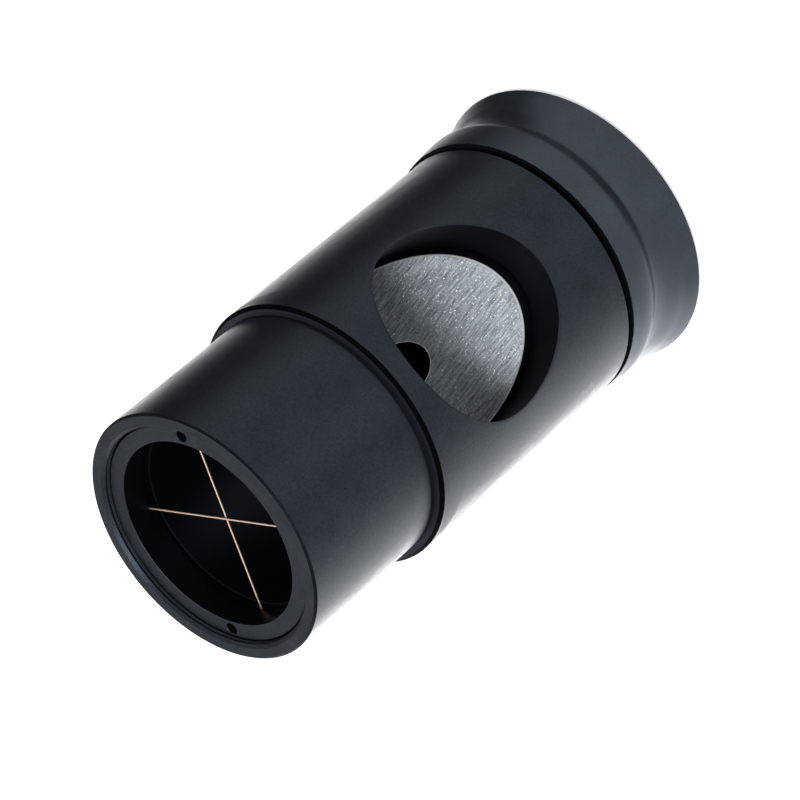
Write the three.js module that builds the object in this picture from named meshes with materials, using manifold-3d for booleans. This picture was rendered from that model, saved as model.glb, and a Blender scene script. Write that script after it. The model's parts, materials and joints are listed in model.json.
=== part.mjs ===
// A Cheshire collimating eyepiece for a 1.25-inch telescope focuser.
//
// It stands on the rim of its rubber eyecup, with the open end of the barrel up. Millimetres, +Z up.
// The origin is on the tube's axis, at the rim of the eyecup. The side window faces -Y.

import * as THREE from "three";
import { mergeVertices } from "three/addons/utils/BufferGeometryUtils.js";
import Module from "manifold-3d";

// ---- driving dimensions ----

// lengths along the axis
const barrelLength = 20.85; // the part that slides into the focuser, open face to shoulder
const bodyLength = 35.8; // shoulder to the rear edge of the thick body
const eyecupGap = 0.5; // groove left open between the body and the rubber
const eyecupLength = 11.65; // front edge of the rubber to its rim
const spigotLength = 5.2; // turned-down end of the tube that the rubber grips

// outside of the tube
const barrelRadius = 15.85;
const barrelChamfer = 0.25;
const shoulderStep = 1.15; // barrel to body
const bodyFrontChamfer = 0.45;
const bodyRearChamfer = 0.25;
const undercutWidth = 0.45; // tool relief at the root of the barrel
const undercutDepth = 0.35;
const undercutFaceDepth = 0.12; // the relief also bites into the shoulder's face
const spigotStep = 1; // body to spigot
const spigotChamfer = 0.3;

// inside of the tube
const barrelWall = 4.1; // barrel's outside to the bore
const mouthWall = 1.8; // barrel's outside to the pitch line of the fine thread in its mouth
const mouthChamfer = 0.36;
const capSeatStep = 1.25; // bore to the seat of the peep cap

// side window, bored square to the axis
const windowRadius = 11.65;
const windowFromShoulder = 14.95; // shoulder to the window's centre
const windowFloorOffset = 0.8; // the cutter stops this far short of the axis

// retaining ring
const ringInset = 0.88; // ring face below the barrel's face
const ringThickness = 2.9;
const ringWidth = 2.1;
const ringChamfer = 0.15;
const spannerHoleRadius = 0.72;
const spannerHoleDepth = 1.6;
const spannerHoleAngle = -39; // degrees from +X to the first hole, the second is opposite

// reticle: a carrier ring with two crossed wires laid in slots and glued at their ends
const carrierThickness = 1.22;
const carrierWidth = 1.75;
const wireRadius = 0.1;
const wireAngles = [60, 150]; // degrees from +X, front wire first
const slotWidth = 0.6;
const bondRadius = 0.26;
const bondInset = 0.75; // bond centre in from the carrier's outer edge

// reflector plug with its 45-degree face
const faceFromWindow = 1.1; // where the face crosses the axis, in front of the window's centre
const noseClearance = 0.3; // the nose of the plug stands clear of the bore
const noseMargin = 2.35; // low end of the slanted face to the start of the close-fitting land
const sightHoleRadius = 3;
const plugRearChamfer = 0.4;

// peep-sight cap in the eye end
const capThickness = 2;
const capFaceInset = 0.1;
const peepHoleRadius = 0.75;
const dishRadius = 4.2;
const dishDepth = 1.3;
const capHoleRadius = 0.7;
const capHoleDepth = 1.2;

// grub screw that locks the plug, on the side opposite the window
const grubRadius = 1.5;
const grubHeadInset = 0.5; // below the surface of the body
const grubBehindWindow = 5; // window's centre to the screw
const grubPointLength = 0.7;
const grubPointRadius = 0.8;
const hexAcrossFlats = 1.5;
const hexDepth = 1.6;

// rubber eyecup
const rubberFrontWall = 1.4; // over the spigot at the front edge
const rubberRidgeRise = 0.3; // front edge to ridge, on the radius
const rubberRidgeAt = 4; // front edge of the rubber to the ridge, along the axis
const rubberNeckFall = 0.6; // ridge to neck, on the radius
const rubberNeckAt = 6.9; // front edge of the rubber to the neck, along the axis
const rubberRimRise = 1.4; // neck to rim, on the radius
const rubberRimThickness = 0.8;
const rubberWall = 1.5;
const rubberFlangeWidth = 2.1; // inner flange that laps over the end of the spigot
const rubberFlangeThickness = 1;

// fits
const runningGap = 0.1; // screwed and turning fits, on the radius
const closeGap = 0.05; // seated faces and close fits
const rubberGap = 0.05;

const roundSides = 72; // sides of every large turned piece
const smallSides = 24; // sides of holes and screws
const bondSides = 12;
const wireSides = 8;
const rubberSteps = 14; // points along the curve of the rubber's outside

// ---- radii worked out from the walls and steps ----

const bodyRadius = barrelRadius + shoulderStep;
const spigotRadius = bodyRadius - spigotStep;
const boreRadius = barrelRadius - barrelWall;
const pocketRadius = barrelRadius - mouthWall;
const capSeatRadius = boreRadius + capSeatStep;
const ringRadius = pocketRadius - runningGap;
const ringOpeningRadius = ringRadius - ringWidth;
const carrierRadius = ringRadius - closeGap;
const carrierOpeningRadius = carrierRadius - carrierWidth;
const bondCircle = carrierRadius - bondInset;
const landRadius = boreRadius - closeGap;
const noseRadius = boreRadius - noseClearance;
const capRadius = capSeatRadius - closeGap;
const sleeveRadius = spigotRadius + rubberGap;
const rubberFrontRadius = spigotRadius + rubberFrontWall;
const rubberRidgeRadius = rubberFrontRadius + rubberRidgeRise;
const rubberNeckRadius = rubberRidgeRadius - rubberNeckFall;
const rubberRimRadius = rubberNeckRadius + rubberRimRise;

// ---- heights worked out from the lengths ----

const rubberFrontZ = eyecupLength;
const rubberRidgeZ = rubberFrontZ - rubberRidgeAt;
const rubberNeckZ = rubberFrontZ - rubberNeckAt;
const bodyRearZ = rubberFrontZ + eyecupGap;
const shoulderZ = bodyRearZ + bodyLength;
const barrelFaceZ = shoulderZ + barrelLength;
const spigotEndZ = bodyRearZ - spigotLength;
const ringFaceZ = barrelFaceZ - ringInset;
const ringRearZ = ringFaceZ - ringThickness;
const carrierFaceZ = ringRearZ - closeGap;
const carrierRearZ = carrierFaceZ - carrierThickness;
const ledgeZ = carrierRearZ - closeGap;
const windowZ = shoulderZ - windowFromShoulder;
const grubZ = windowZ - grubBehindWindow;
const plugFaceZ = windowZ + faceFromWindow;
const landZ = plugFaceZ - noseRadius - noseMargin;
const capFaceZ = spigotEndZ + capFaceInset;
const capFrontZ = capFaceZ + capThickness;
const capSeatZ = capFrontZ + closeGap;
const plugRearZ = capSeatZ + closeGap;

// ---- working with solids ----

const wasm = await Module();
wasm.setup();

function toSolid(geometry) {
  const plain = geometry.clone();
  plain.deleteAttribute("normal");
  plain.deleteAttribute("uv");
  const merged = mergeVertices(plain, 1e-5);
  const mesh = new wasm.Mesh({
    numProp: 3,
    vertProperties: new Float32Array(merged.attributes.position.array),
    triVerts: new Uint32Array(merged.index.array),
  });
  return new wasm.Manifold(mesh);
}

function toGeometry(solid) {
  const mesh = solid.getMesh();
  const geometry = new THREE.BufferGeometry();
  geometry.setAttribute("position", new THREE.BufferAttribute(mesh.vertProperties, 3));
  geometry.setIndex(new THREE.BufferAttribute(mesh.triVerts, 1));
  return geometry;
}

function cut(geometry, cutters) {
  let solid = toSolid(geometry);
  for (const cutter of cutters) {
    solid = solid.subtract(toSolid(cutter));
  }
  return toGeometry(solid);
}

// Turns a closed outline of [radius, height] points about the Z axis.
// The outline runs up the outside and down the inside.
function turned(outline, sides = roundSides) {
  const points = outline.map(([radius, height]) => new THREE.Vector2(radius, height));
  const geometry = new THREE.LatheGeometry(points, sides);
  geometry.rotateX(Math.PI / 2);
  return geometry;
}

function ring(outerRadius, innerRadius, bottomZ, topZ, sides = roundSides) {
  return turned(
    [
      [innerRadius, bottomZ],
      [outerRadius, bottomZ],
      [outerRadius, topZ],
      [innerRadius, topZ],
      [innerRadius, bottomZ],
    ],
    sides,
  );
}

// A round bar along Z, centred on x and y.
function bar(radius, bottomZ, topZ, x = 0, y = 0, sides = smallSides) {
  const geometry = new THREE.CylinderGeometry(radius, radius, topZ - bottomZ, sides);
  geometry.rotateX(Math.PI / 2);
  geometry.translate(x, y, (bottomZ + topZ) / 2);
  return geometry;
}

function radians(degrees) {
  return THREE.MathUtils.degToRad(degrees);
}

// ---- materials ----

const blackAnodised = { color: 0x202228, roughness: 0.42, metalness: 0.75 };
const bareAluminium = { color: 0xa9acb0, roughness: 0.34, metalness: 1 };
const copperWire = { color: 0xc98f6b, roughness: 0.3, metalness: 1 };
const blackSteel = { color: 0x2a2a2c, roughness: 0.35, metalness: 1 };
const blackRubber = { color: 0x25272d, roughness: 0.7, metalness: 0 };
const epoxy = { color: 0x3a3128, roughness: 0.3, metalness: 0 };

const collimator = new THREE.Group();

function addPiece(name, geometry, finish) {
  const mesh = new THREE.Mesh(geometry, new THREE.MeshStandardMaterial(finish));
  mesh.name = name;
  collimator.add(mesh);
  return mesh;
}

// ---- the pieces ----

function mainTube() {
  const undercutRadius = barrelRadius - undercutDepth;
  const outline = [
    [boreRadius, capSeatZ],
    [capSeatRadius, capSeatZ],
    [capSeatRadius, spigotEndZ],
    [spigotRadius - spigotChamfer, spigotEndZ],
    [spigotRadius, spigotEndZ + spigotChamfer],
    [spigotRadius, bodyRearZ],
    [bodyRadius - bodyRearChamfer, bodyRearZ],
    [bodyRadius, bodyRearZ + bodyRearChamfer],
    [bodyRadius, shoulderZ - bodyFrontChamfer],
    [bodyRadius - bodyFrontChamfer, shoulderZ],
    [barrelRadius + closeGap, shoulderZ],
    [undercutRadius, shoulderZ - undercutFaceDepth],
    [undercutRadius, shoulderZ + undercutWidth],
    [barrelRadius, shoulderZ + undercutWidth],
    [barrelRadius, barrelFaceZ - barrelChamfer],
    [barrelRadius - barrelChamfer, barrelFaceZ],
    [pocketRadius + mouthChamfer, barrelFaceZ],
    [pocketRadius, barrelFaceZ - mouthChamfer],
    [pocketRadius, ledgeZ],
    [boreRadius, ledgeZ],
    [boreRadius, capSeatZ],
  ];
  return cut(turned(outline), [windowCutter(), grubHole()]);
}

// The window's cutter comes in from -Y and stops just short of the axis.
function windowCutter() {
  const reach = bodyRadius + 1 - windowFloorOffset;
  const cutter = new THREE.CylinderGeometry(windowRadius, windowRadius, reach, roundSides);
  cutter.translate(0, -windowFloorOffset - reach / 2, windowZ);
  return cutter;
}

function grubHole() {
  const holeRadius = grubRadius + closeGap;
  const start = boreRadius - 1;
  const reach = bodyRadius + 1 - start;
  const cutter = new THREE.CylinderGeometry(holeRadius, holeRadius, reach, smallSides);
  cutter.translate(0, start + reach / 2, grubZ);
  return cutter;
}

function retainingRing() {
  const outline = [
    [ringOpeningRadius, ringRearZ],
    [ringRadius - ringChamfer, ringRearZ],
    [ringRadius, ringRearZ + ringChamfer],
    [ringRadius, ringFaceZ - ringChamfer],
    [ringRadius - ringChamfer, ringFaceZ],
    [ringOpeningRadius, ringFaceZ],
    [ringOpeningRadius, ringRearZ],
  ];
  const bottomZ = ringFaceZ - spannerHoleDepth;
  const angle = radians(spannerHoleAngle);
  const holeCircle = (ringOpeningRadius + ringRadius) / 2;
  const x = holeCircle * Math.cos(angle);
  const y = holeCircle * Math.sin(angle);
  const holes = [1, -1].map((side) =>
    bar(spannerHoleRadius, bottomZ, ringFaceZ + 1, side * x, side * y),
  );
  return cut(turned(outline), holes);
}

// Each wire lies in its own pair of slots, the rear wire's slots cut deeper so that they pass.
const wireHeights = wireAngles.map(
  (angle, order) => carrierFaceZ - closeGap - wireRadius - order * (2 * wireRadius + closeGap),
);

function reticleCarrier() {
  const body = ring(carrierRadius, carrierOpeningRadius, carrierRearZ, carrierFaceZ);
  const slots = wireAngles.map((angle, order) => {
    const floorZ = wireHeights[order] - wireRadius - closeGap / 2;
    const topZ = carrierFaceZ + 1;
    const slot = new THREE.BoxGeometry(2 * carrierRadius + 1, slotWidth, topZ - floorZ);
    slot.translate(0, 0, (floorZ + topZ) / 2);
    slot.rotateZ(radians(angle));
    return slot;
  });
  return cut(body, slots);
}

function crossWire(order) {
  const halfLength = bondCircle - bondRadius - closeGap;
  const wire = new THREE.CylinderGeometry(wireRadius, wireRadius, 2 * halfLength, wireSides);
  wire.rotateZ(Math.PI / 2);
  wire.rotateZ(radians(wireAngles[order]));
  wire.translate(0, 0, wireHeights[order]);
  return wire;
}

// A drop of epoxy in the slot at one end of a wire.
function wireBond(order, side) {
  const angle = radians(wireAngles[order]);
  const floorZ = wireHeights[order] - wireRadius;
  const x = side * bondCircle * Math.cos(angle);
  const y = side * bondCircle * Math.sin(angle);
  return bar(bondRadius, floorZ, carrierFaceZ - closeGap, x, y, bondSides);
}

// The nose is a plain turned tube whose top ring of points is moved onto the 45-degree plane.
function reflectorPlug() {
  const outline = [
    [sightHoleRadius, plugRearZ],
    [landRadius - plugRearChamfer, plugRearZ],
    [landRadius, plugRearZ + plugRearChamfer],
    [landRadius, landZ],
    [noseRadius, landZ],
    [noseRadius, plugFaceZ],
    [sightHoleRadius, plugFaceZ],
    [sightHoleRadius, plugRearZ],
  ];
  const geometry = turned(outline);
  const points = geometry.attributes.position;
  for (let i = 0; i < points.count; i += 1) {
    if (Math.abs(points.getZ(i) - plugFaceZ) < 1e-4) {
      points.setZ(i, plugFaceZ + points.getY(i));
    }
  }
  return geometry;
}

function peepCap() {
  const holeCircle = (dishRadius + capRadius) / 2;
  const outline = [
    [dishRadius, capFaceZ],
    [capRadius, capFaceZ],
    [capRadius, capFrontZ],
    [peepHoleRadius, capFrontZ],
    [peepHoleRadius, capFaceZ + dishDepth],
    [dishRadius, capFaceZ],
  ];
  const holes = [1, -1].map((side) =>
    bar(capHoleRadius, capFaceZ - 1, capFaceZ + capHoleDepth, side * holeCircle, 0),
  );
  return cut(turned(outline), holes);
}

// Built pointing up +Z from its tip at zero, then laid along +Y.
function grubScrew() {
  const tipY = noseRadius + closeGap;
  const length = bodyRadius - grubHeadInset - tipY;
  const screw = turned(
    [
      [0, 0],
      [grubPointRadius, 0],
      [grubRadius, grubPointLength],
      [grubRadius, length],
      [0, length],
    ],
    smallSides,
  );
  const hexRadius = hexAcrossFlats / 2 / Math.cos(Math.PI / 6);
  const socket = bar(hexRadius, length - hexDepth, length + 1, 0, 0, 6);
  const screwWithSocket = cut(screw, [socket]);
  screwWithSocket.rotateX(-Math.PI / 2);
  screwWithSocket.translate(0, tipY, grubZ);
  return screwWithSocket;
}

// Points on the smooth curve through the outside of the rubber, ridge to neck to rim.
function rubberOutside() {
  const edge = rubberRimThickness / 4;
  const curve = new THREE.SplineCurve([
    new THREE.Vector2(rubberRimRadius, edge),
    new THREE.Vector2(rubberNeckRadius + 0.4 * rubberRimRise, rubberNeckZ / 2),
    new THREE.Vector2(rubberNeckRadius, rubberNeckZ),
    new THREE.Vector2(rubberRidgeRadius, rubberRidgeZ),
    new THREE.Vector2(rubberFrontRadius + 0.4 * rubberRidgeRise, (rubberRidgeZ + rubberFrontZ) / 2),
    new THREE.Vector2(rubberFrontRadius, rubberFrontZ - edge),
  ]);
  return curve.getPoints(rubberSteps).map((point) => [point.x, point.y]);
}

function eyecup() {
  const flangeTopZ = spigotEndZ - rubberGap;
  const flangeBottomZ = flangeTopZ - rubberFlangeThickness;
  const throatRadius = rubberNeckRadius - rubberWall;
  const rimInsideRadius = rubberRimRadius - rubberRimThickness;
  const edge = rubberRimThickness / 4;
  const outline = [
    [rimInsideRadius, 0],
    [rubberRimRadius - edge, 0],
    ...rubberOutside(),
    [rubberFrontRadius - edge, rubberFrontZ],
    [sleeveRadius, rubberFrontZ],
    [sleeveRadius, flangeTopZ],
    [spigotRadius - rubberFlangeWidth, flangeTopZ],
    [spigotRadius - rubberFlangeWidth, flangeBottomZ],
    [throatRadius, flangeBottomZ],
    [throatRadius, rubberNeckZ],
    [(throatRadius + rimInsideRadius) / 2, rubberNeckZ / 2],
    [rimInsideRadius, 0],
  ];
  return turned(outline);
}

addPiece("main_tube", mainTube(), blackAnodised);
addPiece("retaining_ring", retainingRing(), blackAnodised);
addPiece("reticle_carrier", reticleCarrier(), blackAnodised);
addPiece("cross_wire_front", crossWire(0), copperWire);
addPiece("cross_wire_rear", crossWire(1), copperWire);
for (const [order, label] of ["front", "rear"].entries()) {
  addPiece(`wire_bond_${label}_a`, wireBond(order, 1), epoxy);
  addPiece(`wire_bond_${label}_b`, wireBond(order, -1), epoxy);
}
addPiece("reflector_plug", reflectorPlug(), bareAluminium);
addPiece("plug_grub_screw", grubScrew(), blackSteel);
addPiece("peep_cap", peepCap(), blackAnodised);
addPiece("eyecup", eyecup(), blackRubber);

export default collimator;
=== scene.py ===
import json
import math

import bmesh
import bpy
from mathutils import Matrix, Vector, noise


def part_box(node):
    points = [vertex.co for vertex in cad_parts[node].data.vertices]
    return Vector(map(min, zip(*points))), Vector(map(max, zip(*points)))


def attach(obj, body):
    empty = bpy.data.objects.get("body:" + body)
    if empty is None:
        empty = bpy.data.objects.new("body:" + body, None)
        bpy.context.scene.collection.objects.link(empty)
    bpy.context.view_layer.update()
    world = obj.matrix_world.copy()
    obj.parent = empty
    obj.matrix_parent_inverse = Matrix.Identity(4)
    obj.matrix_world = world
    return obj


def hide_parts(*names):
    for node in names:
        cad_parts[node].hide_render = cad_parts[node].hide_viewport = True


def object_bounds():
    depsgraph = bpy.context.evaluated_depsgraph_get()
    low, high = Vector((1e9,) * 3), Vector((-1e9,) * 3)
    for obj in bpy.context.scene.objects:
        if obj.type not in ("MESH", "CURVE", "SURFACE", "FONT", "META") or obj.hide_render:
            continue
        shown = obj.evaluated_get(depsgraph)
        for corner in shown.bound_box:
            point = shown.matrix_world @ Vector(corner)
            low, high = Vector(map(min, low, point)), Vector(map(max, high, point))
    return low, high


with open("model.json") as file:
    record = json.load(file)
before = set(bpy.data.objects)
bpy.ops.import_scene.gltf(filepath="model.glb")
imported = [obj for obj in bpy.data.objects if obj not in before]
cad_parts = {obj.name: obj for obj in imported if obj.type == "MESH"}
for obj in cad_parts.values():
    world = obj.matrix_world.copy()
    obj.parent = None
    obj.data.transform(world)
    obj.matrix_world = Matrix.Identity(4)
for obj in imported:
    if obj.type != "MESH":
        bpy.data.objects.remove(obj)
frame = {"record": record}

# The visual model of a Cheshire collimating eyepiece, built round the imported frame.
# Lengths are in millimetres until a mesh or an object is placed, which is in metres.
# The tube's axis is Z, the eyecup stands on z = 0, and the side window faces -Y.

MM = 0.001
cad_low, cad_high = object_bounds()


def box_mm(node):
    """The low and high corners of a CAD node, in millimetres."""
    low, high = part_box(node)
    return Vector(low) / MM, Vector(high) / MM


# ---------------------------------------------------------------- sizes

tube_low, tube_high = box_mm("main_tube")
ring_low, ring_high = box_mm("retaining_ring")
carrier_low, carrier_high = box_mm("reticle_carrier")
plug_low, plug_high = box_mm("reflector_plug")
cap_low, cap_high = box_mm("peep_cap")
_, cup_high = box_mm("eyecup")
screw_low, screw_high = box_mm("plug_grub_screw")
front_wire_low, front_wire_high = box_mm("cross_wire_front")
_, rear_wire_high = box_mm("cross_wire_rear")
mount_z = {m["name"]: m["pos_m"][2] / MM for m in frame["record"]["mounts"]}

# clearances between pieces that fit together
SLIDING_GAP = 0.05
THREAD_GAP = 0.1
CUP_GAP = 0.5

# main tube
BODY_RADIUS = tube_high.x
BARREL_RADIUS = 15.85
SPIGOT_RADIUS = 16.0
BORE_RADIUS = plug_high.x + SLIDING_GAP
POCKET_RADIUS = ring_high.x + THREAD_GAP
CAP_SEAT_RADIUS = cap_high.x + SLIDING_GAP
FACE_Z = tube_high.z
SHOULDER_Z = mount_z["shoulder_seat"]
BODY_REAR_Z = cup_high.z + CUP_GAP
SPIGOT_END_Z = tube_low.z
LEDGE_Z = carrier_low.z - SLIDING_GAP
CAP_SEAT_Z = cap_high.z + SLIDING_GAP
UNDERCUT_DEPTH = 0.35
UNDERCUT_WIDTH = 0.45
UNDERCUT_FACE_DEPTH = 0.12
BODY_CHAMFER = 0.45
BODY_REAR_EDGE = 0.25
BARREL_EDGE = 0.25
MOUTH_CHAMFER = 0.36
SPIGOT_CHAMFER = 0.3
WINDOW_RADIUS = 11.65
WINDOW_FROM_SHOULDER = 14.95
WINDOW_Z = SHOULDER_Z - WINDOW_FROM_SHOULDER
WINDOW_EDGE = 0.1

# thread of the mouth and the retaining ring
THREAD_PITCH = 0.6
MOUTH_THREAD_DEPTH = 0.17
RING_THREAD_DEPTH = 0.1
THREAD_RUNOUT = 0.3

# retaining ring
RING_WIDTH = 2.1
RING_OPENING_RADIUS = ring_high.x - RING_WIDTH
SPANNER_HOLE_RADIUS = 0.72
SPANNER_HOLE_DEPTH = 1.6
SPANNER_HOLE_ANGLE = math.radians(-39)

# reticle
CARRIER_WIDTH = 1.75
CARRIER_OPENING_RADIUS = carrier_high.x - CARRIER_WIDTH
WIRE_RADIUS = (front_wire_high.z - front_wire_low.z) / 2
WIRE_ANGLES = (math.radians(60), math.radians(150))
WIRE_HEIGHTS = (front_wire_high.z - WIRE_RADIUS, rear_wire_high.z - WIRE_RADIUS)
SLOT_WIDTH = 0.6
SLOT_ROUNDING = 0.15
SLOT_HEIGHT = 1.5

# reflector plug
LAND_RADIUS = plug_high.x
NOSE_STEP = 0.25
NOSE_RADIUS = LAND_RADIUS - NOSE_STEP
PLUG_FACE_Z = plug_high.z - NOSE_RADIUS
NOSE_WALL = 2.35  # height of the nose below the lowest point of its slanted face
NOSE_SEAM = 1.2  # how far below that point the level outline meets the tilted one
LAND_Z = PLUG_FACE_Z - NOSE_RADIUS - NOSE_WALL
SIGHT_HOLE_RADIUS = 3.0
PLUG_EDGE = 0.085

# peep cap
PEEP_HOLE_RADIUS = 0.75
DISH_RADIUS = 4.2
DISH_DEPTH = 1.3
CAP_HOLE_RADIUS = 0.7
CAP_HOLE_DEPTH = 1.0

# grub screw
SCREW_RADIUS = (screw_high.x - screw_low.x) / 2
SCREW_Z = (screw_low.z + screw_high.z) / 2
HEX_ACROSS_FLATS = 1.5
HEX_DEPTH = 1.6
SCREW_POINT_RADIUS = 0.8
SCREW_CONE = 0.7
SCREW_EDGE = 0.2

# eyecup
FLANGE_RADIUS = 13.88
FLANGE_THICKNESS = 1.0
FRONT_RAG = 0.16  # depth of the ragged trimming at the front edge
RIM_RAG = 0.05  # depth of the ragged trimming at the rim
RIM_LIFT = 0.22  # half of the lift of the rim's +X side, while its -X side stays down
NECK_SKEW = 0.45  # how far the waist is lower on the +X side and higher on the -X side
WAIST_PINCH = 0.3  # how much the sleeve is narrower on the -X side

# meshes
COLUMNS = 288  # columns round every large turned piece
PORT_ROWS = 48  # rows up a cylinder that a hole goes through
PORT_RINGS = 10  # rings of faces from a hole's edge out to the plain cylinder
ARC_STEPS = 4


# ---------------------------------------------------------------- mesh tools


def around(radius, angle, z):
    """A point at an angle from -Y, turning towards +X."""
    return (radius * math.sin(angle), -radius * math.cos(angle), z)


def direction(azimuth, elevation):
    """The unit vector at an azimuth from -Y, turning towards +X, and an elevation, in degrees."""
    turn, lift = math.radians(azimuth), math.radians(elevation)
    return Vector((math.sin(turn) * math.cos(lift), -math.cos(turn) * math.cos(lift), math.sin(lift)))


def smooth_step(x):
    """Rises smoothly from 0 to 1 as x does."""
    x = min(max(x, 0.0), 1.0)
    return x * x * (3 - 2 * x)


class Surface:
    """Grids of points and faces that are welded into one mesh where their edges meet."""

    def __init__(self):
        self.points = []
        self.faces = []

    def grid(self, rows, wrap=False):
        """Faces between neighbouring rows of points. Wrap closes each row into a loop."""
        start = len(self.points)
        width = len(rows[0])
        for row in rows:
            self.points.extend(row)
        for i in range(len(rows) - 1):
            for j in range(width if wrap else width - 1):
                k = (j + 1) % width
                a = start + i * width
                b = a + width
                self.faces.append((a + j, a + k, b + k, b + j))

    def turned(self, outline, columns=COLUMNS):
        """Turns an open or closed outline of (radius, z) or (radius, z, tilt) about Z.
        Tilt adds that share of a point's y to its z, so 1 lays a ring on a 45-degree plane."""
        angles = [2 * math.pi * j / columns for j in range(columns)]
        rows = []
        for radius, z, *tilt in outline:
            slope = tilt[0] if tilt else 0
            rows.append([around(radius, a, z - slope * radius * math.cos(a)) for a in angles])
        self.grid(rows, wrap=True)

    def thread(self, radius, depth, z_from, z_to):
        """A helical thread that fades out at both ends. It runs from z_from to z_to, up or down."""
        steps = 8
        rise = THREAD_PITCH / steps
        low, high = min(z_from, z_to), max(z_from, z_to)
        count = math.ceil((high - low + THREAD_PITCH) / rise) + 1
        rows = []
        for i in range(count):
            row = []
            for j in range(COLUMNS + 1):
                turn = j / COLUMNS
                z = low + i * rise - THREAD_PITCH + THREAD_PITCH * turn
                phase = (i % steps) / steps
                height = 1 - abs(2 * phase - 1)
                fade = smooth_step(min(z - low, high - z) / THREAD_RUNOUT)
                z = min(max(z, low), high)
                row.append(around(radius + depth * fade * (height - 0.5), 2 * math.pi * turn, z))
            rows.append(row)
        if z_from > z_to:
            rows.reverse()
        self.grid(rows)

    def ported(self, radius, z_low, z_high, ports, edge):
        """A cylinder wall with round holes along Y. Each port is (angle, half columns, hole radius, z)
        with its angle 0 or pi, and each hole is wider by edge. Returns the angles at which
        each hole's rim has its points, one list for each port."""
        step = 2 * math.pi / COLUMNS
        heights = [z_low + (z_high - z_low) * i / PORT_ROWS for i in range(PORT_ROWS + 1)]
        rims = []
        spans = []
        for angle, half, hole_radius, hole_z in ports:
            border = port_border(half, step, heights)
            middle = round(angle / step)
            spans.append((middle - half, middle + half))
            alphas = []
            for turn, z in border:
                reach = heights[-1] - hole_z if z > hole_z else hole_z - heights[0]
                alphas.append(math.atan2((z - hole_z) / reach, turn / (half * step)))
            rows = []
            for ring in range(PORT_RINGS + 1):
                share = (ring / PORT_RINGS) ** 1.6
                row = []
                for alpha, (turn, z) in zip(alphas, border):
                    rim_turn, rim_z = on_hole(hole_radius + edge, radius, alpha, hole_z)
                    at = rim_turn + (turn - rim_turn) * share
                    row.append(around(radius, angle + at, rim_z + (z - rim_z) * share))
                rows.append(row)
            self.grid(rows, wrap=True)
            rims.append(alphas)
        spans.sort()
        after = [*spans[1:], (spans[0][0] + COLUMNS, None)]
        for (_, start), (end, _) in zip(spans, after):
            columns = range(start, end + 1)
            self.grid([[around(radius, step * j, z) for j in columns] for z in heights])
        return rims

    def strip(self, *loops):
        """A band of faces through closed loops of points."""
        self.grid([list(loop) for loop in loops], wrap=True)

    def mesh(self, name, weld):
        """The surface as a mesh in metres, with points closer than weld joined."""
        mesh = bpy.data.meshes.new(name)
        mesh.from_pydata([(x * MM, y * MM, z * MM) for x, y, z in self.points], [], self.faces)
        bm = bmesh.new()
        bm.from_mesh(mesh)
        bmesh.ops.remove_doubles(bm, verts=bm.verts, dist=weld * MM)
        bmesh.ops.dissolve_degenerate(bm, edges=bm.edges, dist=weld / 3 * MM)
        bmesh.ops.recalc_face_normals(bm, faces=bm.faces)
        bm.to_mesh(mesh)
        bm.free()
        return mesh

    def cutter(self, name):
        """The closed surface as an object that is only cut away from a piece."""
        cutter = bpy.data.objects.new(name, self.mesh(name, 0.001))
        bpy.context.scene.collection.objects.link(cutter)
        return cutter

    def build(self, name, material, sharp=32, cutters=()):
        """The finished piece, less its cutters, with edges over sharp degrees left hard."""
        piece = bpy.data.objects.new(name, self.mesh(name, 0.0015))
        bpy.context.scene.collection.objects.link(piece)
        for cutter in cutters:
            cut_away(piece, cutter)
        piece.data.materials.append(material)
        piece.data.polygons.foreach_set("use_smooth", [True] * len(piece.data.polygons))
        piece.data.set_sharp_from_angle(angle=math.radians(sharp))
        return piece


def port_border(half, step, heights):
    """The (turn, z) points round a port's rectangle, anticlockwise seen from outside."""
    right = [(half * step, z) for z in heights[:-1]]
    top = [(turn * step, heights[-1]) for turn in range(half, -half, -1)]
    left = [(-half * step, z) for z in heights[:0:-1]]
    bottom = [(turn * step, heights[0]) for turn in range(-half, half)]
    return right + top + left + bottom


def on_hole(hole_radius, radius, alpha, hole_z):
    """Where a hole along Y meets a cylinder, as the turn from the hole's centre and z."""
    return math.asin(hole_radius * math.cos(alpha) / radius), hole_z + hole_radius * math.sin(alpha)


def hole_loop(hole_radius, radius, alphas, hole_z, angle, inset=0.0):
    """The edge of a hole along Y on a cylinder, moved inset towards the axis."""
    side = math.cos(angle)
    loop = []
    for alpha in alphas:
        across = hole_radius * math.cos(alpha)
        depth = math.sqrt(radius * radius - across * across) - inset
        loop.append((side * across, -side * depth, hole_z + hole_radius * math.sin(alpha)))
    return loop


def rounded(corners, closed=True):
    """Points along a path of (radius, z, fillet) corners, with an arc at each filleted corner.
    A point just beyond each arc keeps the shading of the flat faces flat."""
    path = []
    count = len(corners)
    for i, (r, z, *rest) in enumerate(corners):
        fillet = rest[0] if rest else 0
        here = Vector((r, z))
        ends = not closed and i in (0, count - 1)
        if fillet == 0 or ends:
            path.append((r, z))
            continue
        back = Vector(corners[i - 1][:2]) - here
        ahead = Vector(corners[(i + 1) % count][:2]) - here
        half = back.angle(ahead) / 2
        reach = min(fillet / math.tan(half), 0.45 * back.length, 0.45 * ahead.length)
        hold = min(reach * 1.35, 0.48 * back.length)
        path.append(tuple(here + back.normalized() * hold))
        start = here + back.normalized() * reach
        end = here + ahead.normalized() * reach
        for k in range(ARC_STEPS + 1):
            t = k / ARC_STEPS
            point = start * (1 - t) ** 2 + here * 2 * t * (1 - t) + end * t**2
            path.append(tuple(point))
        hold = min(reach * 1.35, 0.48 * ahead.length)
        path.append(tuple(here + ahead.normalized() * hold))
    if closed:
        path.append(path[0])
    return path


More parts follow.
